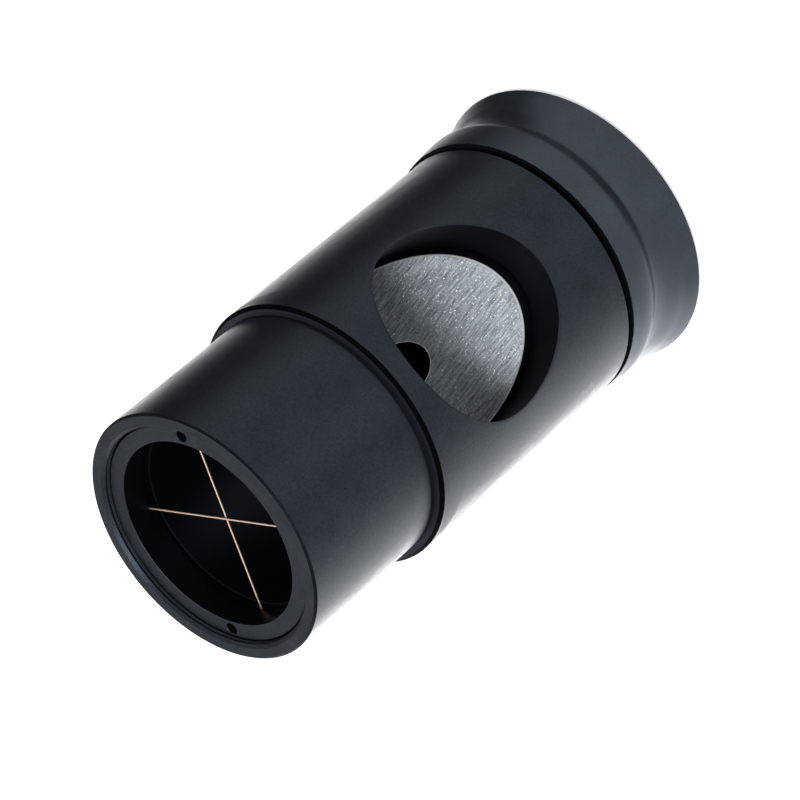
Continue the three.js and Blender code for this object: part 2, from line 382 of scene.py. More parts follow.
def cut_away(piece, cutter):
    """Cuts the cutter's shape out of the piece's mesh and removes the cutter."""
    modifier = piece.modifiers.new("cut", "BOOLEAN")
    modifier.object = cutter
    modifier.operation = "DIFFERENCE"
    modifier.solver = "EXACT"
    graph = bpy.context.evaluated_depsgraph_get()
    cut_mesh = bpy.data.meshes.new_from_object(piece.evaluated_get(graph))
    piece.modifiers.clear()
    old_mesh = piece.data
    name = old_mesh.name
    piece.data = cut_mesh
    bpy.data.meshes.remove(old_mesh)
    cut_mesh.name = name
    cut_mesh.materials.clear()
    bpy.data.objects.remove(cutter)


def drill(x, y, z_mouth, radius, depth, into=-1):
    """A cutter for a blind hole with a drill-point floor and a broken edge at its mouth.
    Into is -1 for a hole that goes down and 1 for one that goes up."""
    edge = 0.06
    above = 0.5
    tip = radius / math.tan(math.radians(59))
    outline = [
        (0, z_mouth + into * (depth + tip)),
        (radius, z_mouth + into * depth),
        (radius, z_mouth + into * edge),
        (radius + edge, z_mouth),
        (radius + edge, z_mouth - into * above),
        (0, z_mouth - into * above),
    ]
    surface = Surface()
    surface.turned(outline, columns=48)
    surface.points = [(px + x, py + y, pz) for px, py, pz in surface.points]
    return surface.cutter("drill")


# ---------------------------------------------------------------- materials


class Nodes:
    """Short calls for building a material's node tree."""

    def __init__(self, name):
        self.material = bpy.data.materials.new(name)
        self.material.use_nodes = True
        self.tree = self.material.node_tree
        self.tree.nodes.clear()
        self.output = self.add("ShaderNodeOutputMaterial")
        self.shader = self.add("ShaderNodeBsdfPrincipled")
        self.link(self.shader, "BSDF", self.output, "Surface")
        self.place = self.add("ShaderNodeTexCoord")

    def add(self, kind, **settings):
        node = self.tree.nodes.new(kind)
        for key, value in settings.items():
            setattr(node, key, value)
        return node

    def link(self, source, output, target, socket):
        self.tree.links.new(source.outputs[output], target.inputs[socket])

    def radial(self):
        """(distance from the axis, 0, z): the same all the way round, as a lathe leaves it."""
        split = self.add("ShaderNodeSeparateXYZ")
        self.link(self.place, "Object", split, "Vector")
        flat = self.add("ShaderNodeCombineXYZ")
        self.link(split, "X", flat, "X")
        self.link(split, "Y", flat, "Y")
        length = self.add("ShaderNodeVectorMath", operation="LENGTH")
        self.link(flat, "Vector", length, 0)
        lathe = self.add("ShaderNodeCombineXYZ")
        self.tree.links.new(length.outputs["Value"], lathe.inputs["X"])
        self.link(split, "Z", lathe, "Z")
        return lathe

    def noise(self, vector, scale, detail=3, roughness=0.55, output="Vector"):
        node = self.add("ShaderNodeTexNoise")
        node.inputs["Scale"].default_value = scale
        node.inputs["Detail"].default_value = detail
        node.inputs["Roughness"].default_value = roughness
        self.link(vector, output, node, "Vector")
        return node

    def span(self, source, output, low, high, from_low=0.3, from_high=0.7):
        """A value from low to high as the source goes from from_low to from_high."""
        node = self.add("ShaderNodeMapRange")
        node.inputs["From Min"].default_value = from_low
        node.inputs["From Max"].default_value = from_high
        node.inputs["To Min"].default_value = low
        node.inputs["To Max"].default_value = high
        self.link(source, output, node, "Value")
        return node

    def product(self, first, second):
        """The product of two spans."""
        node = self.add("ShaderNodeMath", operation="MULTIPLY")
        self.link(first, "Result", node, 0)
        self.link(second, "Result", node, 1)
        return node

    def blend(self, factor, output, first, second):
        node = self.add("ShaderNodeMix", data_type="RGBA")
        node.inputs["A"].default_value = (*first, 1)
        node.inputs["B"].default_value = (*second, 1)
        self.link(factor, output, node, "Factor")
        return node

    def bump(self, height, output, strength, distance, previous=None):
        node = self.add("ShaderNodeBump")
        node.inputs["Strength"].default_value = strength
        node.inputs["Distance"].default_value = distance * MM
        self.link(height, output, node, "Height")
        if previous is not None:
            self.link(previous, "Normal", node, "Normal")
        return node

    def colour(self, noise, dark, light):
        """The surface's colour, from dark to light by a noise."""
        self.link(self.blend(noise, "Fac", dark, light), "Result", self.shader, "Base Color")

    def roughness(self, noise, low, high):
        self.link(self.span(noise, "Fac", low, high), "Result", self.shader, "Roughness")

    def relief(self, bump):
        self.link(bump, "Normal", self.shader, "Normal")

    def set(self, **values):
        """Sets sockets of the shader, whose names have spaces for the underscores."""
        for key, value in values.items():
            self.shader.inputs[key.replace("_", " ")].default_value = value


def anodised_black():
    """Satin black anodising over a fine-turned surface: grainy and faintly clouded."""
    m = Nodes("anodised_black")
    grain = m.noise(m.place, 4600, detail=3, roughness=0.7, output="Object")
    clouds = m.noise(m.place, 230, detail=5, roughness=0.65, output="Object")
    lines = m.noise(m.radial(), 5200, detail=2)
    m.colour(grain, (0.0012, 0.0014, 0.0020), (0.0090, 0.0101, 0.0132))
    m.roughness(clouds, 0.29, 0.39)
    sheen = m.product(m.span(grain, "Fac", 0.42, 0.72), m.span(clouds, "Fac", 0.80, 1.16))
    m.link(sheen, "Value", m.shader, "Specular IOR Level")
    fine = m.bump(grain, "Fac", 0.6, 0.03)
    m.relief(m.bump(lines, "Fac", 0.14, 0.012, fine))
    m.set(Specular_Tint=(0.62, 0.79, 1.0, 1))
    return m.material


def dull_black(name, dark, light, roughness, specular):
    """A dull black for machined edges, walls and the rubber's front face, darker or lighter than the
    anodising: painted shade on the chamfers, the window wall, the gap under the body and the rubber's
    front face, painted light on the shoulder and its groove; one is darker in the bore.
    """
    m = Nodes(name)
    grain = m.noise(m.place, 7000, detail=2, output="Object")
    m.colour(grain, dark, light)
    m.roughness(grain, roughness - 0.06, roughness + 0.06)
    m.relief(m.bump(grain, "Fac", 0.3, 0.02))
    m.set(Specular_IOR_Level=specular, Specular_Tint=(0.66, 0.79, 1.0, 1))
    return m.material


def milled_aluminium():
    """Bare aluminium: fine straight cutter marks over a grain, with painted glints: white specks in
    the colour where the grain is high.
    """
    m = Nodes("milled_aluminium")
    turn = m.add("ShaderNodeMapping")
    turn.inputs["Rotation"].default_value = (math.radians(-45), 0, math.radians(-13))
    m.link(m.place, "Object", turn, "Vector")
    stretch = m.add("ShaderNodeMapping")
    stretch.inputs["Scale"].default_value = (5600, 420, 420)
    m.link(turn, "Vector", stretch, "Vector")
    marks = m.noise(stretch, 1, detail=2, roughness=0.7)
    grain = m.noise(m.place, 5200, detail=2, roughness=0.7, output="Object")
    dark, light = (0.16, 0.18, 0.205), (0.52, 0.565, 0.62)
    streaks = m.blend(m.span(marks, "Fac", 0, 1), "Result", dark, light)
    # Painted glints: white specks mixed into the colour.
    painted_glint = m.add("ShaderNodeMix", data_type="RGBA")
    painted_glint.inputs["B"].default_value = (1.0, 1.0, 1.0, 1)
    m.link(streaks, "Result", painted_glint, "A")
    m.link(m.span(grain, "Fac", 0, 1, 0.58, 0.70), "Result", painted_glint, "Factor")
    m.link(painted_glint, "Result", m.shader, "Base Color")
    m.roughness(grain, 0.40, 0.26)
    lines = m.bump(marks, "Fac", 0.8, 0.035)
    m.relief(m.bump(grain, "Fac", 0.9, 0.035, lines))
    m.set(Metallic=1.0)
    return m.material


def bright_edge():
    """The burnished break round the edges of the bare face."""
    m = Nodes("bright_edge")
    nicks = m.noise(m.place, 3000, detail=2, output="Object")
    m.colour(nicks, (0.86, 0.90, 0.94), (1.0, 1.0, 1.0))
    m.roughness(nicks, 0.4, 0.6)
    m.set(Metallic=0.3)
    return m.material


def copper_wire():
    """Bare drawn copper, a little paler and redder in spots."""
    m = Nodes("copper_wire")
    spots = m.noise(m.place, 1500, output="Object")
    m.colour(spots, (0.86, 0.58, 0.42), (0.98, 0.74, 0.60))
    m.roughness(spots, 0.3, 0.5)
    m.relief(m.bump(spots, "Fac", 0.2, 0.01))
    m.set(Metallic=0.6)
    return m.material


def dark_epoxy():
    """Dull, nearly black epoxy."""
    m = Nodes("dark_epoxy")
    clouds = m.noise(m.place, 2500, output="Object")
    m.colour(clouds, (0.0030, 0.0030, 0.0032), (0.0080, 0.0078, 0.0080))
    m.roughness(clouds, 0.55, 0.75)
    m.set(Specular_IOR_Level=0.2)
    return m.material


def blackened_steel():
    """Blotchy black-oxide steel."""
    m = Nodes("blackened_steel")
    blotch = m.noise(m.place, 1800, output="Object")
    m.colour(blotch, (0.025, 0.025, 0.028), (0.055, 0.053, 0.052))
    m.roughness(blotch, 0.28, 0.5)
    m.relief(m.bump(blotch, "Fac", 0.2, 0.01))
    m.set(Metallic=0.8)
    return m.material


def moulded_rubber():
    """Black rubber with the soft sheen of its mould, a fine grain and a faint bloom."""
    m = Nodes("moulded_rubber")
    grain = m.noise(m.place, 5200, detail=3, output="Object")
    bloom = m.noise(m.place, 240, detail=5, roughness=0.65, output="Object")
    m.colour(bloom, (0.0036, 0.0042, 0.0056), (0.0066, 0.0076, 0.0098))
    sheen = m.product(m.span(grain, "Fac", 0.80, 1.0), m.span(bloom, "Fac", 0.82, 1.0))
    m.link(sheen, "Value", m.shader, "Specular IOR Level")
    m.roughness(bloom, 0.34, 0.44)
    m.relief(m.bump(grain, "Fac", 0.4, 0.03))
    m.set(IOR=1.7, Specular_Tint=(0.68, 0.80, 1.0, 1))
    return m.material


def pale_floor():
    """Matt white that glows a little, so that it stays white under the object."""
    m = Nodes("pale_floor")
    tone = m.noise(m.place, 6, detail=2, output="Object")
    m.colour(tone, (0.86, 0.86, 0.86), (0.88, 0.88, 0.88))
    m.set(Roughness=0.9, Specular_IOR_Level=0.1, Emission_Color=(1, 1, 1, 1), Emission_Strength=0.55)
    return m.material


ANODISED = anodised_black()
# Painted shade: near black, on the shoulder's chamfer and in the gap between the body and the eyecup.
GAP_AND_CHAMFER_PAINTED_SHADE = dull_black("broken_edge", (0.0006, 0.0007, 0.0010), (0.0016, 0.0019, 0.0026), 0.55, 0.02)
# Painted shade: darker, on the window's wall and the barrel's front chamfer.
WINDOW_AND_RIM_PAINTED_SHADE = dull_black("window_and_rim_painted_shade", (0.0016, 0.0019, 0.0026), (0.0034, 0.0040, 0.0052), 0.45, 0.12)
# Painted light: lighter than the anodising, on the shoulder's face and its groove.
SHOULDER_PAINTED_LIGHT = dull_black("shoulder_painted_light", (0.008, 0.010, 0.013), (0.016, 0.019, 0.025), 0.45, 0.5)
DARK_BORE = dull_black("dark_bore", (0.0012, 0.0014, 0.0019), (0.0028, 0.0032, 0.0042), 0.42, 0.2)
# Painted shade: darker, on the rubber's front face under the body.
RUBBER_FRONT_PAINTED_SHADE = dull_black("rubber_front_painted_shade", (0.0010, 0.0012, 0.0016), (0.0026, 0.0030, 0.0038), 0.7, 0.08)
MILLED = milled_aluminium()
BRIGHT_EDGE = bright_edge()
COPPER = copper_wire()
EPOXY = dark_epoxy()
STEEL = blackened_steel()
RUBBER = moulded_rubber()


def finish_piece(piece, body, nodes):
    """Tells the frame which body the piece moves with and which CAD nodes it stands for."""
    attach(piece, body)
    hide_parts(*nodes)


# ---------------------------------------------------------------- pieces


def tube_finish(x, y, z):
    """Which of the tube's finishes a point of its surface has: painted shade on the chamfers, the
    window wall and the gap under the body, painted light on the shoulder and its groove, and darker in
    the bore.
    """
    hair = 0.01  # how far a point may be from a surface that it counts as part of
    radius = math.hypot(x, y)
    # Painted shade on the shoulder's chamfer.
    if BODY_RADIUS - BODY_CHAMFER < radius < BODY_RADIUS - hair:
        if SHOULDER_Z - BODY_CHAMFER < z < SHOULDER_Z - hair:
            return GAP_AND_CHAMFER_PAINTED_SHADE
    # Painted light in the undercut groove.
    in_groove = SHOULDER_Z - 0.22 < z < SHOULDER_Z + 0.62
    if BARREL_RADIUS - 1 < radius < BARREL_RADIUS - 2 * hair and in_groove:
        return SHOULDER_PAINTED_LIGHT
    # Painted shade on the barrel's front chamfer.
    if radius > BARREL_RADIUS - BARREL_EDGE and FACE_Z - BARREL_EDGE < z < FACE_Z - hair:
        return WINDOW_AND_RIM_PAINTED_SHADE
    # Painted shade on the spigot and the body's rear in the gap under the body.
    if radius > SPIGOT_RADIUS - 0.5 and z < BODY_REAR_Z + hair:
        return GAP_AND_CHAMFER_PAINTED_SHADE
    # Painted light on the shoulder's flat face.
    if BARREL_RADIUS < radius < BODY_RADIUS and abs(z - SHOULDER_Z) < hair:
        return SHOULDER_PAINTED_LIGHT
    # Painted shade on the window's wall.
    in_window = math.hypot(x, z - WINDOW_Z) < WINDOW_RADIUS + 2 * hair
    if in_window and y < 0 and BORE_RADIUS + 3 * hair < radius < BODY_RADIUS - 3 * hair:
        return WINDOW_AND_RIM_PAINTED_SHADE
    if radius < POCKET_RADIUS + 2 * hair and z < FACE_Z - 1:
        return DARK_BORE
    return ANODISED


def paint(piece, finishes, choose):
    """Gives each polygon the finish that choose returns for its centre and normal."""
    for finish in finishes[1:]:
        piece.data.materials.append(finish)
    for polygon in piece.data.polygons:
        finish = choose(polygon.center / MM, polygon.normal)
        polygon.material_index = finishes.index(finish)


def make_main_tube():
    """The barrel, body and spigot, with the bore, window, screw hole, threaded mouth and cap seat."""
    surface = Surface()
    # angle, half of the columns that the patch round the hole takes, radius, height
    window = (0.0, 80, WINDOW_RADIUS, WINDOW_Z)
    screw_hole = (math.pi, 40, SCREW_RADIUS + SLIDING_GAP, SCREW_Z)
    ports = (window, screw_hole)
    # the plain walls stop clear of what is turned at their ends
    outer_low = BODY_REAR_Z + 0.6
    outer_high = SHOULDER_Z - 0.9
    bore_low = CAP_SEAT_Z + 3
    bore_high = SHOULDER_Z + 3
    alphas = surface.ported(BODY_RADIUS, outer_low, outer_high, ports, WINDOW_EDGE)
    surface.ported(BORE_RADIUS, bore_low, bore_high, ports, WINDOW_EDGE / 2)
    for (angle, _, hole_radius, hole_z), loop in zip(ports, alphas):
        grown = hole_radius + WINDOW_EDGE
        part = hole_radius + 0.3 * WINDOW_EDGE
        surface.strip(
            hole_loop(grown, BODY_RADIUS, loop, hole_z, angle),
            hole_loop(part, BODY_RADIUS, loop, hole_z, angle, 0.3 * WINDOW_EDGE),
            hole_loop(hole_radius, BODY_RADIUS, loop, hole_z, angle, WINDOW_EDGE),
            hole_loop(hole_radius, BODY_RADIUS, loop, hole_z, angle, 1.5 * WINDOW_EDGE),
            hole_loop(hole_radius, BORE_RADIUS, loop, hole_z, angle, -WINDOW_EDGE),
            hole_loop(hole_radius, BORE_RADIUS, loop, hole_z, angle, -WINDOW_EDGE / 2),
            hole_loop(hole_radius + WINDOW_EDGE / 2, BORE_RADIUS, loop, hole_z, angle),
        )
    undercut = BARREL_RADIUS - UNDERCUT_DEPTH
    thread_top = FACE_Z - MOUTH_CHAMFER
    thread_end = LEDGE_Z + THREAD_RUNOUT
    front = [
        (BODY_RADIUS, outer_high),
        (BODY_RADIUS, SHOULDER_Z - BODY_CHAMFER, 0.06),
        (BODY_RADIUS - BODY_CHAMFER, SHOULDER_Z, 0.06),
        (BARREL_RADIUS + 0.05, SHOULDER_Z, 0.04),
        (undercut, SHOULDER_Z - UNDERCUT_FACE_DEPTH, 0.08),
        (undercut, SHOULDER_Z + UNDERCUT_WIDTH - 0.12, 0.08),
        (BARREL_RADIUS, SHOULDER_Z + UNDERCUT_WIDTH + 0.06, 0.04),
        (BARREL_RADIUS, FACE_Z - BARREL_EDGE, 0.12),
        (BARREL_RADIUS - BARREL_EDGE, FACE_Z, 0.12),
        (POCKET_RADIUS + MOUTH_CHAMFER, FACE_Z, 0.05),
        (POCKET_RADIUS, thread_top),
    ]
    surface.turned(rounded(front, closed=False))
    surface.thread(POCKET_RADIUS, MOUTH_THREAD_DEPTH, thread_top, thread_end)
    ledge = [
        (POCKET_RADIUS, thread_end),
        (POCKET_RADIUS, LEDGE_Z, 0.1),
        (BORE_RADIUS, LEDGE_Z, 0.08),
        (BORE_RADIUS, bore_high),
    ]
    surface.turned(rounded(ledge, closed=False))
    eye_end = [
        (BORE_RADIUS, bore_low),
        (BORE_RADIUS, CAP_SEAT_Z, 0.1),
        (CAP_SEAT_RADIUS, CAP_SEAT_Z, 0.1),
        (CAP_SEAT_RADIUS, SPIGOT_END_Z, 0.1),
        (SPIGOT_RADIUS - SPIGOT_CHAMFER, SPIGOT_END_Z, 0.1),
        (SPIGOT_RADIUS, SPIGOT_END_Z + SPIGOT_CHAMFER, 0.1),
        (SPIGOT_RADIUS, BODY_REAR_Z, 0.1),
        (BODY_RADIUS - BODY_REAR_EDGE, BODY_REAR_Z, 0.06),
        (BODY_RADIUS, BODY_REAR_Z + BODY_REAR_EDGE, 0.06),
        (BODY_RADIUS, outer_low),
    ]
    surface.turned(rounded(eye_end, closed=False))
    piece = surface.build("tube_shell", ANODISED)
    finishes = [ANODISED, GAP_AND_CHAMFER_PAINTED_SHADE, WINDOW_AND_RIM_PAINTED_SHADE, SHOULDER_PAINTED_LIGHT, DARK_BORE]
    paint(piece, finishes, lambda centre, normal: tube_finish(*centre))
    finish_piece(piece, "tube", ["main_tube"])


def make_retaining_ring():
    """The threaded ring in the mouth, with its two blind spanner holes."""
    face, rear = ring_high.z, ring_low.z
    radius = ring_high.x
    root = radius - RING_THREAD_DEPTH / 2
    surface = Surface()
    body = [
        (root, rear + THREAD_RUNOUT),
        (radius - 0.15, rear, 0.05),
        (RING_OPENING_RADIUS, rear, 0.08),
        (RING_OPENING_RADIUS, face, 0.12),
        (radius - 0.18, face, 0.08),
        (root, face - THREAD_RUNOUT),
    ]
    surface.turned(list(reversed(rounded(body, closed=False))))
    surface.thread(root, RING_THREAD_DEPTH, rear + THREAD_RUNOUT, face - THREAD_RUNOUT)
    circle = (RING_OPENING_RADIUS + radius) / 2
    holes = []
    for side in (1, -1):
        x = side * circle * math.cos(SPANNER_HOLE_ANGLE)
        y = side * circle * math.sin(SPANNER_HOLE_ANGLE)
        holes.append(drill(x, y, face, SPANNER_HOLE_RADIUS, SPANNER_HOLE_DEPTH))
    piece = surface.build("threaded_ring", ANODISED, cutters=holes)

    def finish(centre, normal):
        return DARK_BORE if centre.xy.length < RING_OPENING_RADIUS + 0.02 else ANODISED

    paint(piece, [ANODISED, DARK_BORE], finish)
    finish_piece(piece, "retaining_ring", ["retaining_ring"])


def make_reticle_carrier():
    """The ring that the wires are stretched across, with a saw slot for each wire."""
    radius = carrier_high.x
    surface = Surface()
    section = [
        (CARRIER_OPENING_RADIUS, carrier_low.z, 0.08),
        (radius, carrier_low.z, 0.1),
        (radius, carrier_high.z, 0.1),
        (CARRIER_OPENING_RADIUS, carrier_high.z, 0.08),
    ]
    surface.turned(rounded(section))
    slots = []
    for angle, height in zip(WIRE_ANGLES, WIRE_HEIGHTS):
        slots.append(slot_cutter(angle, height - WIRE_RADIUS - 0.02, radius))
    piece = surface.build("wire_carrier", DARK_BORE, cutters=slots)
    finish_piece(piece, "reticle", ["reticle_carrier"])


def slot_cutter(angle, floor_z, radius):
    """A round-bottomed slot right across the carrier, as a slitting saw cuts it."""
    half_width = SLOT_WIDTH / 2
    steps = 8
    profile = [(-half_width, floor_z + SLOT_HEIGHT)]
    for k in range(steps + 1):
        turn = math.pi * k / steps
        z = floor_z + SLOT_ROUNDING * (1 - math.sin(turn))
        profile.append((-half_width * math.cos(turn), z))
    profile.append((half_width, floor_z + SLOT_HEIGHT))
    along = Vector((math.cos(angle), math.sin(angle)))
    across = Vector((-along.y, along.x))
    surface = Surface()
    ends = []
    for side in (-1, 1):
        centre = along * side * (radius + 1)
        ends.append([(*(centre + across * a), z) for a, z in profile])
    surface.grid(ends, wrap=True)
    count = len(profile)
    surface.faces.append(tuple(range(count)))
    surface.faces.append(tuple(range(2 * count - 1, count - 1, -1)))
    return surface.cutter("slot")


def make_wire(name, node, order):
    """A thin wire pulled straight, with the slight waviness that it keeps from its spool."""
    sides = 16
    steps = 160
    angle = WIRE_ANGLES[order]
    height = WIRE_HEIGHTS[order]
    _, high = box_mm(node)
    half_length = high.xy.length - 0.02
    along = Vector((math.cos(angle), math.sin(angle), 0))
    across = Vector((-along.y, along.x, 0))
    rows = []
    for i in range(steps + 1):
        reach = (2 * i / steps - 1) * half_length
        wave = 0.02 * noise.noise(Vector((reach * 0.35, 3.1 * order, 7)))
        centre = along * reach + across * wave + Vector((0, 0, height))
        ring = []
        for j in range(sides):
            turn = 2 * math.pi * j / sides
            offset = across * math.cos(turn) + Vector((0, 0, math.sin(turn)))
            ring.append(tuple(centre + offset * (WIRE_RADIUS - 0.002)))
        rows.append(ring)
    surface = Surface()
    surface.grid(rows, wrap=True)
    last = steps * sides
    surface.faces.append(tuple(range(sides - 1, -1, -1)))
    surface.faces.append(tuple(range(last, last + sides)))
    piece = surface.build(name, COPPER)
    finish_piece(piece, "reticle", [node])


def make_bond(name, node, seed):
    """A drop of epoxy that sits in the slot over the end of a wire."""
    low, high = box_mm(node)
    centre = (low + high) / 2
    radius = (high.x - low.x) / 2
    rows = []
    rings = 10
    sides = 28
    for i in range(rings + 1):
        lift = i / rings
        row = []
        for j in range(sides):
            turn = 2 * math.pi * j / sides
            lump = 0.85 + 0.13 * noise.noise(Vector((math.cos(turn), math.sin(turn), seed * 2.3)))
            spread = radius * lump * math.sqrt(max(0.0, 1 - lift**2.4))
            z = low.z + (high.z - low.z) * lift
            row.append((centre.x + spread * math.cos(turn), centre.y + spread * math.sin(turn), z))
        rows.append(row)
    surface = Surface()
    surface.grid(rows, wrap=True)
    surface.faces.append(tuple(range(sides - 1, -1, -1)))
    piece = surface.build(name, EPOXY, sharp=60)
    finish_piece(piece, "reticle", [node])


def make_reflector_plug():
    """The plug with its slanted face. The face's outline tilts with y and the lower end doesn't."""
    edge = PLUG_EDGE
    rear = plug_low.z
    nose_bottom = (NOSE_RADIUS, PLUG_FACE_Z - NOSE_RADIUS - NOSE_SEAM)
    hole_bottom = (SIGHT_HOLE_RADIUS, rear + 3)
    surface = Surface()
    body = [
        nose_bottom,
        (NOSE_RADIUS, LAND_Z, 0.06),
        (LAND_RADIUS, LAND_Z, 0.06),
        (LAND_RADIUS, rear + 0.4, 0.08),
        (LAND_RADIUS - 0.4, rear, 0.08),
        (SIGHT_HOLE_RADIUS, rear, 0.1),
        hole_bottom,
    ]
    surface.turned(list(reversed(rounded(body, closed=False))))
    # distance in from the wall and down from the face, in shares of the edge
    broken_edge = [(0, 2.6), (0, 1.9), (0.3, 0.6), (1, 0), (1.6, 0)]
    slanted = [nose_bottom]
    for inwards, down in broken_edge:
        slanted.append((NOSE_RADIUS - inwards * edge, PLUG_FACE_Z - down * edge, 1))
    steps = 24
    face_radius = NOSE_RADIUS - 1.6 * edge
    hole_radius = SIGHT_HOLE_RADIUS + 1.6 * edge
    for k in range(1, steps):
        slanted.append((face_radius + (hole_radius - face_radius) * k / steps, PLUG_FACE_Z, 1))
    for inwards, down in reversed(broken_edge):
        slanted.append((SIGHT_HOLE_RADIUS + inwards * edge, PLUG_FACE_Z - down * edge, 1))
    slanted.append(hole_bottom)
    surface.turned(slanted)
    piece = surface.build("slanted_plug", ANODISED)
    face_normal = Vector((0, -1, 1)).normalized()

    def finish(centre, normal):
        above = centre.z - (PLUG_FACE_Z + centre.y)
        facing = normal.dot(face_normal)
        if above > -0.05 * edge and facing > 0.99:
            return MILLED
        if above > -2 * edge and facing > 0.2:
            return BRIGHT_EDGE
        return ANODISED

    paint(piece, [ANODISED, MILLED, BRIGHT_EDGE], finish)
    finish_piece(piece, "tube", ["reflector_plug"])


def make_peep_cap():
    """The disc in the eye end, with its peep hole, its dish and two blind spanner holes."""
    face, front = cap_low.z, cap_high.z
    radius = cap_high.x
    section = [
        (DISH_RADIUS, face, 0.15),
        (radius, face, 0.12),
        (radius, front, 0.12),
        (PEEP_HOLE_RADIUS, front, 0.06),
        (PEEP_HOLE_RADIUS, face + DISH_DEPTH, 0.06),
    ]
    surface = Surface()
    surface.turned(rounded(section))
    circle = (DISH_RADIUS + radius) / 2
    holes = []
    for side in (1, -1):
        holes.append(drill(side * circle, 0, face, CAP_HOLE_RADIUS, CAP_HOLE_DEPTH, into=1))
    piece = surface.build("eye_cap", ANODISED, cutters=holes)
    finish_piece(piece, "tube", ["peep_cap"])


def make_grub_screw():
    """The socket set screw that holds the plug: made along Z, then laid along Y."""
    length = screw_high.y - screw_low.y
    outside = SCREW_RADIUS - 0.02
    outline = [
        (0, 0),
        (SCREW_POINT_RADIUS, 0, 0.05),
        (outside, SCREW_CONE, 0.05),
        (outside, length - SCREW_EDGE, 0.05),
        (outside - SCREW_EDGE, length, 0.05),
        (0, length),
    ]
    surface = Surface()
    surface.turned(rounded(outline, closed=False), columns=64)
    corner = HEX_ACROSS_FLATS / 2 / math.cos(math.pi / 6)
    floor_z = length - HEX_DEPTH
    socket = [(0, floor_z - 0.3), (corner, floor_z), (corner, length + 1), (0, length + 1)]
    hexagon = Surface()
    hexagon.turned(socket, columns=6)
    piece = surface.build("locking_screw", STEEL, cutters=[hexagon.cutter("hexagon")])
    place = Matrix.Translation(Vector((0, screw_low.y, SCREW_Z)) * MM)
    piece.data.transform(place @ Matrix.Rotation(-math.pi / 2, 4, "X"))
    finish_piece(piece, "tube", ["plug_grub_screw"])


def make_eyecup():
    """The flared rubber cup, from its rim on the floor up to the sleeve that grips the spigot."""
    rim = cup_high.x
    front = cup_high.z
    sleeve = SPIGOT_RADIUS + SLIDING_GAP
    flange_top = SPIGOT_END_Z - SLIDING_GAP
    flange_under = flange_top - FLANGE_THICKNESS
    # from the rim's edge up past the waist and the ridge to the front
    outside = smooth_curve(
        [
            (rim - 0.02, 0.1),
            (rim - 0.34, 0.9),
            (rim - 0.76, 2.0),
            (rim - 1.14, 3.3),
            (rim - 1.42, 4.6),
            (rim - 1.56, 5.6),
            (rim - 1.56, 6.2),
            (rim - 1.38, 6.7),
            (rim - 1.1, 7.2),
            (rim - 0.88, 7.7),
            (rim - 0.8, 8.3),
            (rim - 0.85, 9.4),
            (rim - 0.97, 10.5),
            (rim - 1.1, front - 0.12),
        ],
        96,
    )
    # from under the flange down the flare
    inside = smooth_curve(
        [
            (15.6, flange_under - 0.05),
            (15.62, 4.2),
            (15.9, 3.0),
            (16.75, 1.5),
            (rim - 0.72, 0.12),
        ],
        32,
    )
    outline = [
        (rim - 0.62, 0),
        (rim - 0.12, 0),
        *outside,
        (rim - 1.11, front - 0.04),
        (rim - 1.16, front),
        (sleeve + 0.1, front),
        (sleeve, front - 0.12),
        (sleeve, flange_top),
        (FLANGE_RADIUS + 0.07, flange_top),
        (FLANGE_RADIUS, flange_top - 0.1),
        (FLANGE_RADIUS, flange_under + 0.1),
        (FLANGE_RADIUS + 0.07, flange_under),
        (15.5, flange_under),
        *inside,
        (rim - 0.62, 0),
    ]
    surface = Surface()
    surface.turned(outline, columns=480)
    surface.points = [worn_rubber(point, rim, front) for point in surface.points]
    piece = surface.build("rubber_cup", RUBBER, sharp=50)

    def finish(centre, normal):
        # Painted shade on the front face, which lies in the gap under the body.
        return RUBBER_FRONT_PAINTED_SHADE if normal.z > 0.5 and centre.z > front - 0.3 else RUBBER

    paint(piece, [RUBBER, RUBBER_FRONT_PAINTED_SHADE], finish)
    finish_piece(piece, "eyecup", ["eyecup"])


def smooth_curve(knots, steps):
    """Points on a Catmull-Rom curve through the knots."""
    path = [Vector(k) for k in knots]
    path = [2 * path[0] - path[1], *path, 2 * path[-1] - path[-2]]
    points = []
    spans = len(knots) - 1
    for k in range(steps + 1):
        at = k / steps * spans
        i = min(int(at), spans - 1)
        t = at - i
        a, b, c, d = path[i : i + 4]
        point = b + (c - a) * t / 2 + (a - 2.5 * b + 2 * c - d / 2) * t**2
        point = point + (1.5 * (b - c) + (d - a) / 2) * t**3
        points.append(tuple(point))
    return points


def worn_rubber(point, rim, front):
    """Trimmed flash at the front edge and the rim, and a neck and rim that sit a little askew."""
    x, y, z = point
    radius = math.hypot(x, y)
    side = Vector((x / radius, y / radius, 0))
    outer_wall = 16.6  # a radius between the cup's inner and outer walls
    near_rim = smooth_step(1 - z / 0.5) * smooth_step((radius - rim + 0.5) / 0.3)
    near_front = smooth_step((z - front + 0.25) / 0.2)
    near_front *= smooth_step((radius - outer_wall - 0.3) / 0.2)
    ragged = 0.5 + 0.5 * noise.noise(side * 44 + Vector((0, 0, 4)))
    radius -= RIM_RAG * ragged**2 * near_rim
    z -= FRONT_RAG * ragged**2 * near_front
    outside = smooth_step((radius - outer_wall) / 0.2)
    above_flare = outside * smooth_step((z - 2.5) / 2.5)
    radius -= WAIST_PINCH * smooth_step((-side.x - 0.2) / 0.8) * above_flare
    z += RIM_LIFT * (1 + side.x) * smooth_step(1 - z / 5)
    below_front = smooth_step((front - 0.8 - z) / 2.2)
    z -= NECK_SKEW * side.x * outside * smooth_step((z - 2.5) / 2.5) * below_front
    return (side.x * radius, side.y * radius, z)


